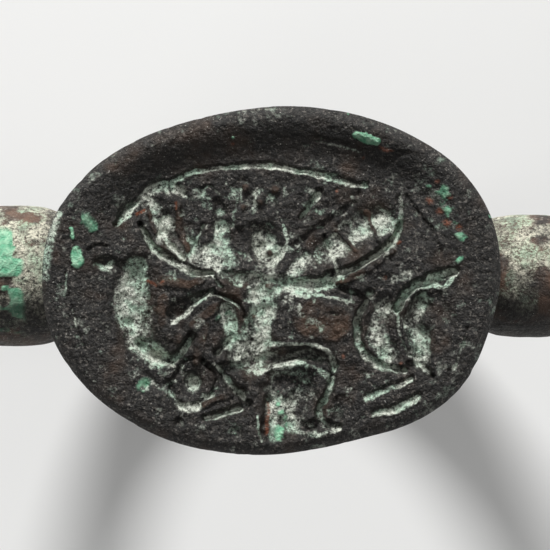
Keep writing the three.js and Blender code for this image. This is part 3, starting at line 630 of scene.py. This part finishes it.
def face_masks(inside, upper, worked, marks, noise):
    """How much of each deposit lies at each point of the face, from 0 to 1, with painted shade in its dark
    mask and partly painted highlight in its pale one.
    """
    # Pale deposit lies in the cuts, less so in scoured, raised and uncoated places, and dusts the rest. Its
    # marks on the lit lower walls of the cuts are partly painted highlight.
    settled_and_lit = 1.1 * marks.pale + 0.3 * smooth(0.1, 0.4, marks.groove) + 0.75 * smooth(0.05, 0.3, marks.basin)
    settled_and_lit = settled_and_lit * lerp(0.4, 1.0, smooth(-0.4, 0.2, noise.scour))
    settled_and_lit = settled_and_lit * (1 - smooth(0.03, 0.14, marks.rise))
    # Painted shade: some of these places keep the deposit off slopes that lie in shade.
    settled_and_lit = settled_and_lit * (1 - 0.85 * marks.bare_and_shade)
    dust = lerp(0.32, 0.5, worked) * smooth(0.05, 0.6, noise.grain - 0.4 * noise.coarse)
    # The slope inside the upper edge is painted darker: painted shade, where that slope faces away from the
    # key lamp.
    band = smooth(0.45, 0.9, inside) * smooth(2.4, 1.6, inside)
    return {
        "pale": np.clip(settled_and_lit + dust, 0, 1),
        "green": np.clip(marks.green / FULL_GREEN, 0, 1),
        "red": marks.red,
        "brown": np.clip(0.7 * smooth(0.0, 0.7, noise.coarse) + smooth(0.02, 0.12, marks.rise), 0, 1),
        # The dark mask holds real pits and the painted shade of the upper slope.
        "dark": np.clip(noise.pits + 0.6 * upper * band, 0, 1),
    }


def face_surface(x, y):
    """Level of the engraved face at each point, and its masks."""
    points = np.stack([x, y, np.zeros_like(x)], axis=1)
    reach = seal_edge(np.arctan2(y, x))
    inside = reach - np.hypot(x, y)
    # The share of the way to the edge has 0.05 added, so that it isn't 0 in the middle.
    upper = smooth(*UPPER_PART, (y / SEAL_HALF_WIDTH) / (1.05 - inside / reach))
    worked = 1 - np.hypot(x / WORKED_HALF_LENGTH, (y - WORKED_MIDDLE) / WORKED_HALF_WIDTH)
    worked = smooth(0.0, 0.3, worked)
    place = (inside, upper, worked, face_marks(x, y, points), face_noise(points))
    return PLATE_FACE - face_drop(*place), face_masks(*place)


def edge_nicks(angle):
    """Small nicks in the seal's outline in each direction, from 0 to 1."""
    turn = angle.ravel()
    circle = np.stack([NICK_CIRCLE * np.cos(turn), NICK_CIRCLE * np.sin(turn), 0 * turn], axis=1)
    return np.clip(lumps(circle, size=0.7, seed=89), 0, 1).reshape(angle.shape)


def oval_grid():
    """A square grid carried to the worn outline: x and y of its points, its faces and its rim's points."""
    line = np.linspace(-1, 1, FACE_CELLS + 1)
    u, v = np.meshgrid(line, line)
    x = SEAL_HALF_LENGTH * u * np.sqrt(1 - v * v / 2)
    y = SEAL_HALF_WIDTH * v * np.sqrt(1 - u * u / 2)
    angle = np.arctan2(y, x)
    oval = 1 / np.hypot(np.cos(angle) / SEAL_HALF_LENGTH, np.sin(angle) / SEAL_HALF_WIDTH)
    grow = seal_edge(angle) / oval * (RIM_SHARE - NICK_DEPTH * edge_nicks(angle))
    index = np.arange(x.size).reshape(x.shape)
    corners = [index[:-1, :-1], index[:-1, 1:], index[1:, 1:], index[1:, :-1]]
    faces = np.stack([corner.ravel() for corner in corners], axis=1).tolist()
    rim = np.concatenate([index[0, :-1], index[:-1, -1], index[-1, :0:-1], index[:0:-1, 0]])
    return (x * grow).ravel(), (y * grow).ravel(), faces, rim


def wall_and_back(face, rim):
    """Points of the plate's wall and back, ring by ring from the face's rim, and their faces."""
    points = []
    faces = []
    last = rim
    count = len(face)
    for height, share in SHELL_RINGS:
        ring = face[rim] * [share, share, 0] + [0, 0, PLATE_BACK + height]
        if share > WALL_SHARE:
            ring[:, :2] *= 1 - WALL_WEAR * (1 + lumps(ring, size=0.8, seed=61))[:, None]
        points.append(ring)
        new = np.arange(count, count + len(rim))
        count += len(rim)
        faces += np.stack([last, np.roll(last, -1), np.roll(new, -1), new], axis=1).tolist()
        last = new
    faces.append(last.tolist())
    return np.concatenate(points), faces


def shell_masks(points):
    """Pale and brown patches and dark pits on the plate's wall and back."""
    return {
        "pale": 0.5 * smooth(0.1, 0.6, lumps(points, size=1.2, seed=71)),
        "brown": smooth(-0.2, 0.5, lumps(points, size=0.9, seed=73)),
        "green": np.zeros(len(points)),
        "red": np.zeros(len(points)),
        "dark": smooth(0.4, 0.8, lumps(points, size=0.25, seed=79)),
    }


def in_metres(points):
    """Points in mm, measured from the pin's axis, in the frame's metres."""
    return (points + [0, 0, PIN_HEIGHT]) * MM


def show_piece(name, mesh, masks, look, body, node):
    """Shows a mesh as the piece that replaces a CAD node, with its masks as attributes."""
    for mask, values in masks.items():
        attribute = mesh.attributes.new(mask, "FLOAT", "POINT")
        attribute.data.foreach_set("value", np.asarray(values, dtype=np.float32))
    mesh.shade_smooth()
    mesh.materials.clear()
    mesh.materials.append(look)
    piece = bpy.data.objects.new(name, mesh)
    bpy.context.scene.collection.objects.link(piece)
    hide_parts(node)
    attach(piece, body)


def engraved_face(look):
    """The seal's plate: its engraved face as a fine grid, a rounded wall and a flat back."""
    x, y, faces, rim = oval_grid()
    level, masks = face_surface(x, y)
    face = np.stack([x, y, level], axis=1)
    shell, shell_faces = wall_and_back(face, rim)
    plain = shell_masks(shell)
    masks = {mask: np.concatenate([values, plain[mask]]) for mask, values in masks.items()}
    mesh = bpy.data.meshes.new("engraved_face")
    mesh.from_pydata(in_metres(np.concatenate([face, shell])), [], faces + shell_faces)
    mesh.update()
    bm = bmesh.new()
    bm.from_mesh(mesh)
    bmesh.ops.recalc_face_normals(bm, faces=bm.faces)
    bm.to_mesh(mesh)
    bm.free()
    show_piece("engraved_face", mesh, masks, look, "seal", "seal_plate")


def refined(node, voxel, smoothing):
    """A CAD node's mesh, made anew from cells of the size voxel in mm and smoothed a few times."""
    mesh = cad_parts[node].data.copy()
    stand_in = bpy.data.objects.new("stand_in", mesh)
    bpy.context.scene.collection.objects.link(stand_in)
    remesh = stand_in.modifiers.new("remesh", "REMESH")
    remesh.mode = "VOXEL"
    remesh.voxel_size = voxel * MM
    soften = stand_in.modifiers.new("soften", "SMOOTH")
    soften.factor = 0.5
    soften.iterations = smoothing
    bpy.context.view_layer.update()
    result = bpy.data.meshes.new_from_object(stand_in.evaluated_get(bpy.context.evaluated_depsgraph_get()))
    bpy.data.objects.remove(stand_in)
    return result


def weathered(name, node, body, look, voxel, smoothing, depth, pale, seed, relief=None, tint=None):
    """The piece that stands for a CAD node: the same shape, finely meshed and corroded inwards.

    Voxel and depth are in mm, and pale is the strength of the pale deposit. The relief gives a height
    to add at each point, such as carving or crust, and the tint changes the masks.
    """
    mesh = refined(node, voxel, smoothing)
    points = np.empty(len(mesh.vertices) * 3)
    mesh.vertices.foreach_get("co", points)
    points = points.reshape(-1, 3) / MM - [0, 0, PIN_HEIGHT]
    normals = np.array([vertex.normal for vertex in mesh.vertices])
    coarse = lumps(points, size=1.6, seed=seed)
    grain = lumps(points, size=0.35, seed=seed + 5)
    pits = pitting(points, size=0.3, seed=seed + 9)
    added = relief(points, normals) if relief else np.zeros(len(points))
    amount = -depth * (0.5 + 0.3 * coarse + 0.2 * grain) - 0.9 * depth * pits + added
    mesh.vertices.foreach_set("co", in_metres(points + normals * amount[:, None]).ravel())
    mesh.update()
    masks = {
        "pale": np.clip(pale * (0.55 + 0.9 * coarse + 0.4 * grain) + smooth(0.03, 0.25, -added) * 0.6, 0, 1),
        "brown": smooth(-0.3, 0.5, lumps(points, size=2.4, seed=seed + 13)),
        "green": smooth(0.62, 0.8, lumps(points, size=1.1, seed=seed + 17)),
        "red": smooth(0.66, 0.85, lumps(points, size=0.8, seed=seed + 21)),
        "dark": pits,
    }
    if tint:
        tint(masks, points, normals)
    show_piece(name, mesh, masks, look, body, node)


def left_crust(points):
    """Where the green crust stands on the hoop's left end, from 0 to 1."""
    x, y, z = points.T
    reach = smooth(*CRUST_X, x) * smooth(*CRUST_REACH, np.abs(y - CRUST_MIDDLE)) * smooth(*CRUST_Z, z)
    return reach * smooth(-0.15, 0.2, lumps(points, size=0.6, seed=301))


def crust_height(points, normals):
    """How far the crust swells outwards from the hoop's left end."""
    return CRUST_HEIGHT * left_crust(points) * (0.6 + 0.4 * lumps(points, size=0.5, seed=331))


def hoop_tint(masks, points, normals):
    """Cream and green crust near the left end, with the hoop tinted by the way its surface faces: paler,
    greener and at the right end browner toward the key lamp, partly real crust and partly painted highlight,
    and darker away from it, painted shade.
    """
    up = smooth(-0.2, 0.7, normals[:, 1] * 0.6 + normals[:, 2] * 0.5)
    high = smooth(*HOOP_TOP_Z, points[:, 2])
    left = smooth(*LEFT_END_X, points[:, 0])
    right = smooth(*RIGHT_END_X, points[:, 0])
    patch = smooth(0.1, 0.35, lumps(points, size=0.9, seed=321))
    blotch = smooth(0.0, 0.35, lumps(points, size=0.5, seed=311))
    # Partly painted highlight: the pale crust is stronger on the side that faces the key lamp, at both ends.
    pale = np.clip(masks["pale"] * (0.35 + 0.8 * up) * (1 - 0.1 * right) + 0.45 * left * up * high, 0, 1)
    masks["pale"] = np.clip(pale + 0.35 * right * up * high, 0, 1) * (1 - 0.85 * patch)
    # Partly painted highlight: the right end is browner on its side toward the key lamp.
    masks["brown"] = np.clip(masks["brown"] + 0.7 * right * up + patch, 0, 1)
    # Partly painted highlight: the green is stronger on the side toward the key lamp.
    masks["green"] = np.clip(masks["green"] * (0.4 + up) + left_crust(points), 0, 1)
    # Painted shade: the side away from the key lamp is darker, most at the right end.
    masks["dark"] = np.clip(masks["dark"] + (0.6 + 0.5 * right) * (1 - up) + 0.55 * blotch, 0, 1)


def ridges(place, spacing):
    """Even ridges along a line, from 0 to 1."""
    return 0.5 + 0.5 * np.cos(place / spacing * 2 * np.pi)


def beetle_carving(points, normals):
    """Sinks the beetle's lines: wing cases with fine ribs, the head, and hatching on the legs."""
    x, y, z = points.T
    level = SCARAB_BASE - z
    on_back = smooth(0.15, 0.45, -normals[:, 2])
    beside = np.abs(normals[:, 1])
    on_legs = smooth(0.45, 0.7, beside) * smooth(*HATCHED_FROM, level) * smooth(*HATCHED_TO, level)
    ribs = ridges(y, RIB_SPACING) ** 3 * smooth(*RIBBED_X, x) * smooth(*RIBBED_TO, np.abs(y))
    hatching = ridges(x + HATCH_LEAN * level, HATCH_SPACING) ** 2
    lines = strongest(BACK_LINES, x, y) * on_back
    lines = np.maximum(lines, RIB_DEPTH * ribs * on_back * smooth(*RIBBED_FROM, np.abs(y)))
    lines = np.maximum(lines, strongest(SIDE_LINES, x, level) * smooth(0.25, 0.5, beside))
    return -lines - HATCH_DEPTH * hatching * on_legs


# The patina's colours.
PIT_AND_SHADE_DARK = (0.012, 0.011, 0.01, 1)
RED_OXIDE = (0.23, 0.075, 0.035, 1)
DEEP_GREEN = (0.12, 0.42, 0.24, 1)
LIGHT_GREEN = (0.42, 0.7, 0.48, 1)
PALE_SPECK = (0.45, 0.44, 0.4, 1)

# The sizes of the patina's noises, in lumps to the metre.
PATCHES = 900
LUMPS = 3200
BREAKS = 5500
BRIGHT_GRAINS = 7000
GRAINS = 9000
ROUGHNESS = 12000
SPECKS = 14000

# The heights of its relief in metres.
LUMP_BUMP = 0.00022
FINE_BUMP = 0.00007

# The mix node has several inputs and outputs of each name, so those for colours go by number.
MIX_SHARE, MIX_FIRST, MIX_SECOND = 0, 6, 7
MIX_COLOUR = 2


class PatinaNodes:
    """Short calls that add shader nodes to one material."""

    def __init__(self, tree):
        self.tree = tree
        self.place = self.add("ShaderNodeTexCoord", {}).outputs["Object"]

    def add(self, kind, inputs, **settings):
        """A node with its settings. Each input is linked to another node's output or set to a value."""
        node = self.tree.nodes.new(kind)
        for key, value in settings.items():
            setattr(node, key, value)
        for key, value in inputs.items():
            if isinstance(value, bpy.types.NodeSocket):
                self.tree.links.new(value, node.inputs[key])
            else:
                node.inputs[key].default_value = value
        return node

    def mask(self, name):
        """A mask of the piece, from its attribute."""
        return self.add("ShaderNodeAttribute", {}, attribute_name=name).outputs["Fac"]

    def noise(self, scale, detail=6.0, rough=0.6):
        """Noise from 0 to 1 that is fixed to the piece, with its scale in lumps to the metre."""
        inputs = {"Vector": self.place, "Scale": scale, "Detail": detail, "Roughness": rough}
        return self.add("ShaderNodeTexNoise", inputs).outputs["Fac"]

    def ramp(self, value, low, high):
        """Rises from 0 at low to 1 at high in a soft curve."""
        inputs = {"Value": value, "From Min": low, "From Max": high}
        return self.add("ShaderNodeMapRange", inputs, interpolation_type="SMOOTHSTEP").outputs[0]

    def spread(self, value, low, high):
        """Carries a value from 0 to 1 to the range from low to high."""
        return self.add("ShaderNodeMapRange", {"Value": value, "To Min": low, "To Max": high}).outputs[0]

    def combine(self, operation, a, b):
        """Two values multiplied, added or compared, with the result kept between 0 and 1."""
        return self.add("ShaderNodeMath", {0: a, 1: b}, operation=operation, use_clamp=True).outputs[0]

    def mix(self, share, first, second):
        """The first colour where the share is 0, and the second where it is 1."""
        inputs = {MIX_SHARE: share, MIX_FIRST: first, MIX_SECOND: second}
        return self.add("ShaderNodeMix", inputs, data_type="RGBA").outputs[MIX_COLOUR]

    def bump(self, height, strength, distance, **inputs):
        """Small relief in the surface's normal."""
        inputs.update({"Height": height, "Strength": strength, "Distance": distance})
        return self.add("ShaderNodeBump", inputs).outputs["Normal"]


def toned(colour, factor):
    """The colour made lighter or darker by one factor, or by one for each of red, green and blue."""
    return (*(np.array(colour[:3]) * factor), 1)


def bare_metal(nodes, metal, medium, grain):
    """Metal with darker lumps, dark gaps between its grains and bright grains."""
    colour = nodes.mix(nodes.ramp(medium, 0.35, 0.65), metal, toned(metal, 0.4))
    colour = nodes.mix(nodes.ramp(grain, 0.42, 0.6), toned(metal, 0.12), colour)
    bright = nodes.ramp(nodes.noise(BRIGHT_GRAINS, detail=4.0), 0.55, 0.66)
    return nodes.mix(bright, colour, toned(metal, 2.6))


def pale_layer(nodes, pale, coarse, grain):
    """The pale layer's colour, and its share, broken up where its mask is weak. The layer is deposit, and
    partly painted highlight where its mask carries it.
    """
    mask = nodes.mask("pale")
    breaks = nodes.ramp(nodes.noise(BREAKS, detail=8.0, rough=0.8), 0.36, 0.6)
    broken = nodes.combine("MULTIPLY", mask, breaks)
    share = nodes.combine("ADD", broken, nodes.combine("MULTIPLY", mask, 0.12))
    colour = nodes.mix(nodes.ramp(coarse, 0.42, 0.6), pale, toned(pale, (0.66, 0.86, 0.78)))
    colour = nodes.mix(nodes.ramp(grain, 0.36, 0.56), toned(pale, (0.25, 0.27, 0.25)), colour)
    return colour, nodes.ramp(share, 0.08, 0.7)


def patina(name, metal, brown, pale, metallic, roughness, bump):
    """Corroded bronze: metal, browner patches, a pale layer of deposit and partly painted highlight, green
    and red copper minerals, and dark pits that also carry painted shade.
    """
    look = bpy.data.materials.new(name)
    look.use_nodes = True
    tree = look.node_tree
    nodes = PatinaNodes(tree)
    coarse = nodes.noise(PATCHES)
    medium = nodes.noise(LUMPS)
    fine = nodes.noise(ROUGHNESS, detail=3.0)
    grain = nodes.noise(GRAINS, detail=5.0, rough=0.75)

    def covered(colour, mask, noise, layer):
        return nodes.mix(nodes.combine("MULTIPLY", mask, noise), colour, layer)

    colour = bare_metal(nodes, metal, medium, grain)
    colour = covered(colour, nodes.mask("brown"), nodes.ramp(coarse, 0.35, 0.65), brown)
    deposit, pale_share = pale_layer(nodes, pale, coarse, grain)
    colour = nodes.mix(pale_share, colour, deposit)
    colour = covered(colour, nodes.mask("red"), nodes.ramp(fine, 0.3, 0.55), RED_OXIDE)
    green = nodes.mix(nodes.ramp(medium, 0.35, 0.7), DEEP_GREEN, LIGHT_GREEN)
    green_share = nodes.combine("MULTIPLY", nodes.mask("green"), nodes.ramp(medium, 0.15, 0.45))
    colour = nodes.mix(nodes.ramp(green_share, 0.1, 0.6), colour, green)
    # The dark colour covers real pits, and also painted shade on the seal's upper slope and on the hoop's
    # side away from the key lamp.
    colour = covered(colour, nodes.mask("dark"), 0.75, PIT_AND_SHADE_DARK)
    specks = nodes.ramp(nodes.noise(SPECKS, detail=2.0), 0.66, 0.73)
    colour = covered(colour, specks, nodes.ramp(coarse, 0.4, 0.65), PALE_SPECK)

    mineral = nodes.combine("MAXIMUM", pale_share, nodes.mask("green"))
    rough = nodes.bump(fine, bump, FINE_BUMP)
    shader = tree.nodes["Principled BSDF"]
    tree.links.new(colour, shader.inputs["Base Color"])
    tree.links.new(nodes.spread(mineral, metallic, 0.02), shader.inputs["Metallic"])
    tree.links.new(nodes.spread(medium, roughness - 0.12, roughness + 0.18), shader.inputs["Roughness"])
    tree.links.new(nodes.bump(medium, bump, LUMP_BUMP, Normal=rough), shader.inputs["Normal"])
    return look


# A look for each material slot.
seal_look = patina(
    "seal_bronze", metal=(0.044, 0.04, 0.035, 1), brown=(0.064, 0.036, 0.021, 1), pale=(0.7, 0.73, 0.63, 1),
    metallic=0.35, roughness=0.48, bump=1.0,
)
scarab_look = patina(
    "scarab_bronze", metal=(0.1, 0.092, 0.084, 1), brown=(0.14, 0.09, 0.058, 1), pale=(0.38, 0.4, 0.36, 1),
    metallic=0.5, roughness=0.5, bump=0.6,
)
hoop_look = patina(
    "hoop_bronze", metal=(0.1, 0.092, 0.08, 1), brown=(0.17, 0.1, 0.068, 1), pale=(0.66, 0.63, 0.5, 1),
    metallic=0.3, roughness=0.6, bump=0.9,
)
pin_look = patina(
    "pin_bronze", metal=(0.17, 0.12, 0.085, 1), brown=(0.24, 0.14, 0.08, 1), pale=(0.42, 0.42, 0.36, 1),
    metallic=0.7, roughness=0.42, bump=0.5,
)
solder_look = patina(
    "solder_grey", metal=(0.24, 0.25, 0.24, 1), brown=(0.2, 0.17, 0.14, 1), pale=(0.55, 0.56, 0.52, 1),
    metallic=0.4, roughness=0.6, bump=0.6,
)

# The pieces that stand for the CAD nodes.
engraved_face(seal_look)
weathered(
    "beetle", node="scarab_body", body="seal", look=scarab_look,
    voxel=0.1, smoothing=5, depth=0.03, pale=0.25, seed=120, relief=beetle_carving,
)
weathered(
    "ring_hoop", node="hoop", body="ring", look=hoop_look,
    voxel=0.13, smoothing=14, depth=0.07, pale=0.75, seed=140, relief=crust_height, tint=hoop_tint,
)
weathered(
    "solder_seam", node="solder_bed", body="seal", look=solder_look,
    voxel=0.06, smoothing=2, depth=0.01, pale=0.7, seed=160,
)
for side in ("left", "right"):
    weathered(
        f"{side}_bush", node=f"{side}_bore_bush", body="seal", look=pin_look,
        voxel=0.06, smoothing=4, depth=0.015, pale=0.3, seed=180,
    )
    weathered(
        f"{side}_washer", node=f"{side}_pin_washer", body="ring", look=pin_look,
        voxel=0.05, smoothing=3, depth=0.012, pale=0.3, seed=200,
    )
weathered(
    "hammered_pin", node="swivel_pin", body="ring", look=pin_look,
    voxel=0.07, smoothing=6, depth=0.02, pale=0.25, seed=220,
)

# The floor, and the light from all round.
FLOOR_HALF_WIDTH = 600
FLOOR_COLOUR = (0.8, 0.8, 0.79, 1)
WORLD_STRENGTH = 0.22


def pale_floor():
    """The pale floor that the ring stands on."""
    half = FLOOR_HALF_WIDTH * MM
    mesh = bpy.data.meshes.new("floor")
    corners = [(-half, -half, 0), (half, -half, 0), (half, half, 0), (-half, half, 0)]
    mesh.from_pydata(corners, [], [(0, 1, 2, 3)])
    look = bpy.data.materials.new("floor")
    look.use_nodes = True
    shader = look.node_tree.nodes["Principled BSDF"]
    shader.inputs["Base Color"].default_value = FLOOR_COLOUR
    shader.inputs["Roughness"].default_value = 0.9
    mesh.materials.append(look)
    floor = bpy.data.objects.new("floor", mesh)
    bpy.context.scene.collection.objects.link(floor)


def area_light(name, place, width, power):
    """A round soft lamp that faces the seal. Its place and width are in mm, and its power in watts."""
    lamp = bpy.data.objects.new(name, bpy.data.lights.new(name, "AREA"))
    lamp.data.shape = "DISK"
    lamp.data.size = width * MM
    lamp.data.energy = power
    lamp.location = Vector(place) * MM
    target = Vector((0, 0, PIN_HEIGHT)) * MM
    lamp.rotation_euler = (target - lamp.location).to_track_quat("-Z", "Y").to_euler()
    bpy.context.scene.collection.objects.link(lamp)


def studio():
    """White light from all round, a bright lamp from the top of the photo, and two weak ones."""
    world = bpy.data.worlds.new("studio")
    world.use_nodes = True
    background = world.node_tree.nodes["Background"]
    background.inputs["Color"].default_value = (1, 1, 1, 1)
    background.inputs["Strength"].default_value = WORLD_STRENGTH
    bpy.context.scene.world = world
    area_light("key", place=(-50, 345, 185), width=110, power=2.2)
    area_light("fill", place=(-260, -120, 300), width=220, power=0.2)
    area_light("side", place=(300, 40, 200), width=200, power=0.25)


# The photograph's side and the seal's middle in px, with 460 px along the 17.5 mm seal.
PHOTO_SIDE = 550
SEAL_MIDDLE_PX = (272, 276)
PX_PER_MM = 460 / 17.5
VIEW_WIDTH = PHOTO_SIDE / PX_PER_MM
VIEW_CENTRE = (
    (PHOTO_SIDE / 2 - SEAL_MIDDLE_PX[0]) / PX_PER_MM,
    (SEAL_MIDDLE_PX[1] - PHOTO_SIDE / 2) / PX_PER_MM,
)
LENS = 300.0
SENSOR = 36.0


def photo_camera():
    """A camera that looks straight down on the face, from as far as the photo's frame needs."""
    camera = bpy.data.objects.new("camera", bpy.data.cameras.new("camera"))
    camera.data.lens = LENS
    camera.data.sensor_width = SENSOR
    camera.data.clip_start = MM
    distance = VIEW_WIDTH * LENS / SENSOR
    camera.location = Vector((*VIEW_CENTRE, PIN_HEIGHT + PLATE_FACE + distance)) * MM
    bpy.context.scene.collection.objects.link(camera)
    bpy.context.scene.camera = camera


pale_floor()
studio()
photo_camera()
bpy.context.scene.view_settings.view_transform = "Standard"
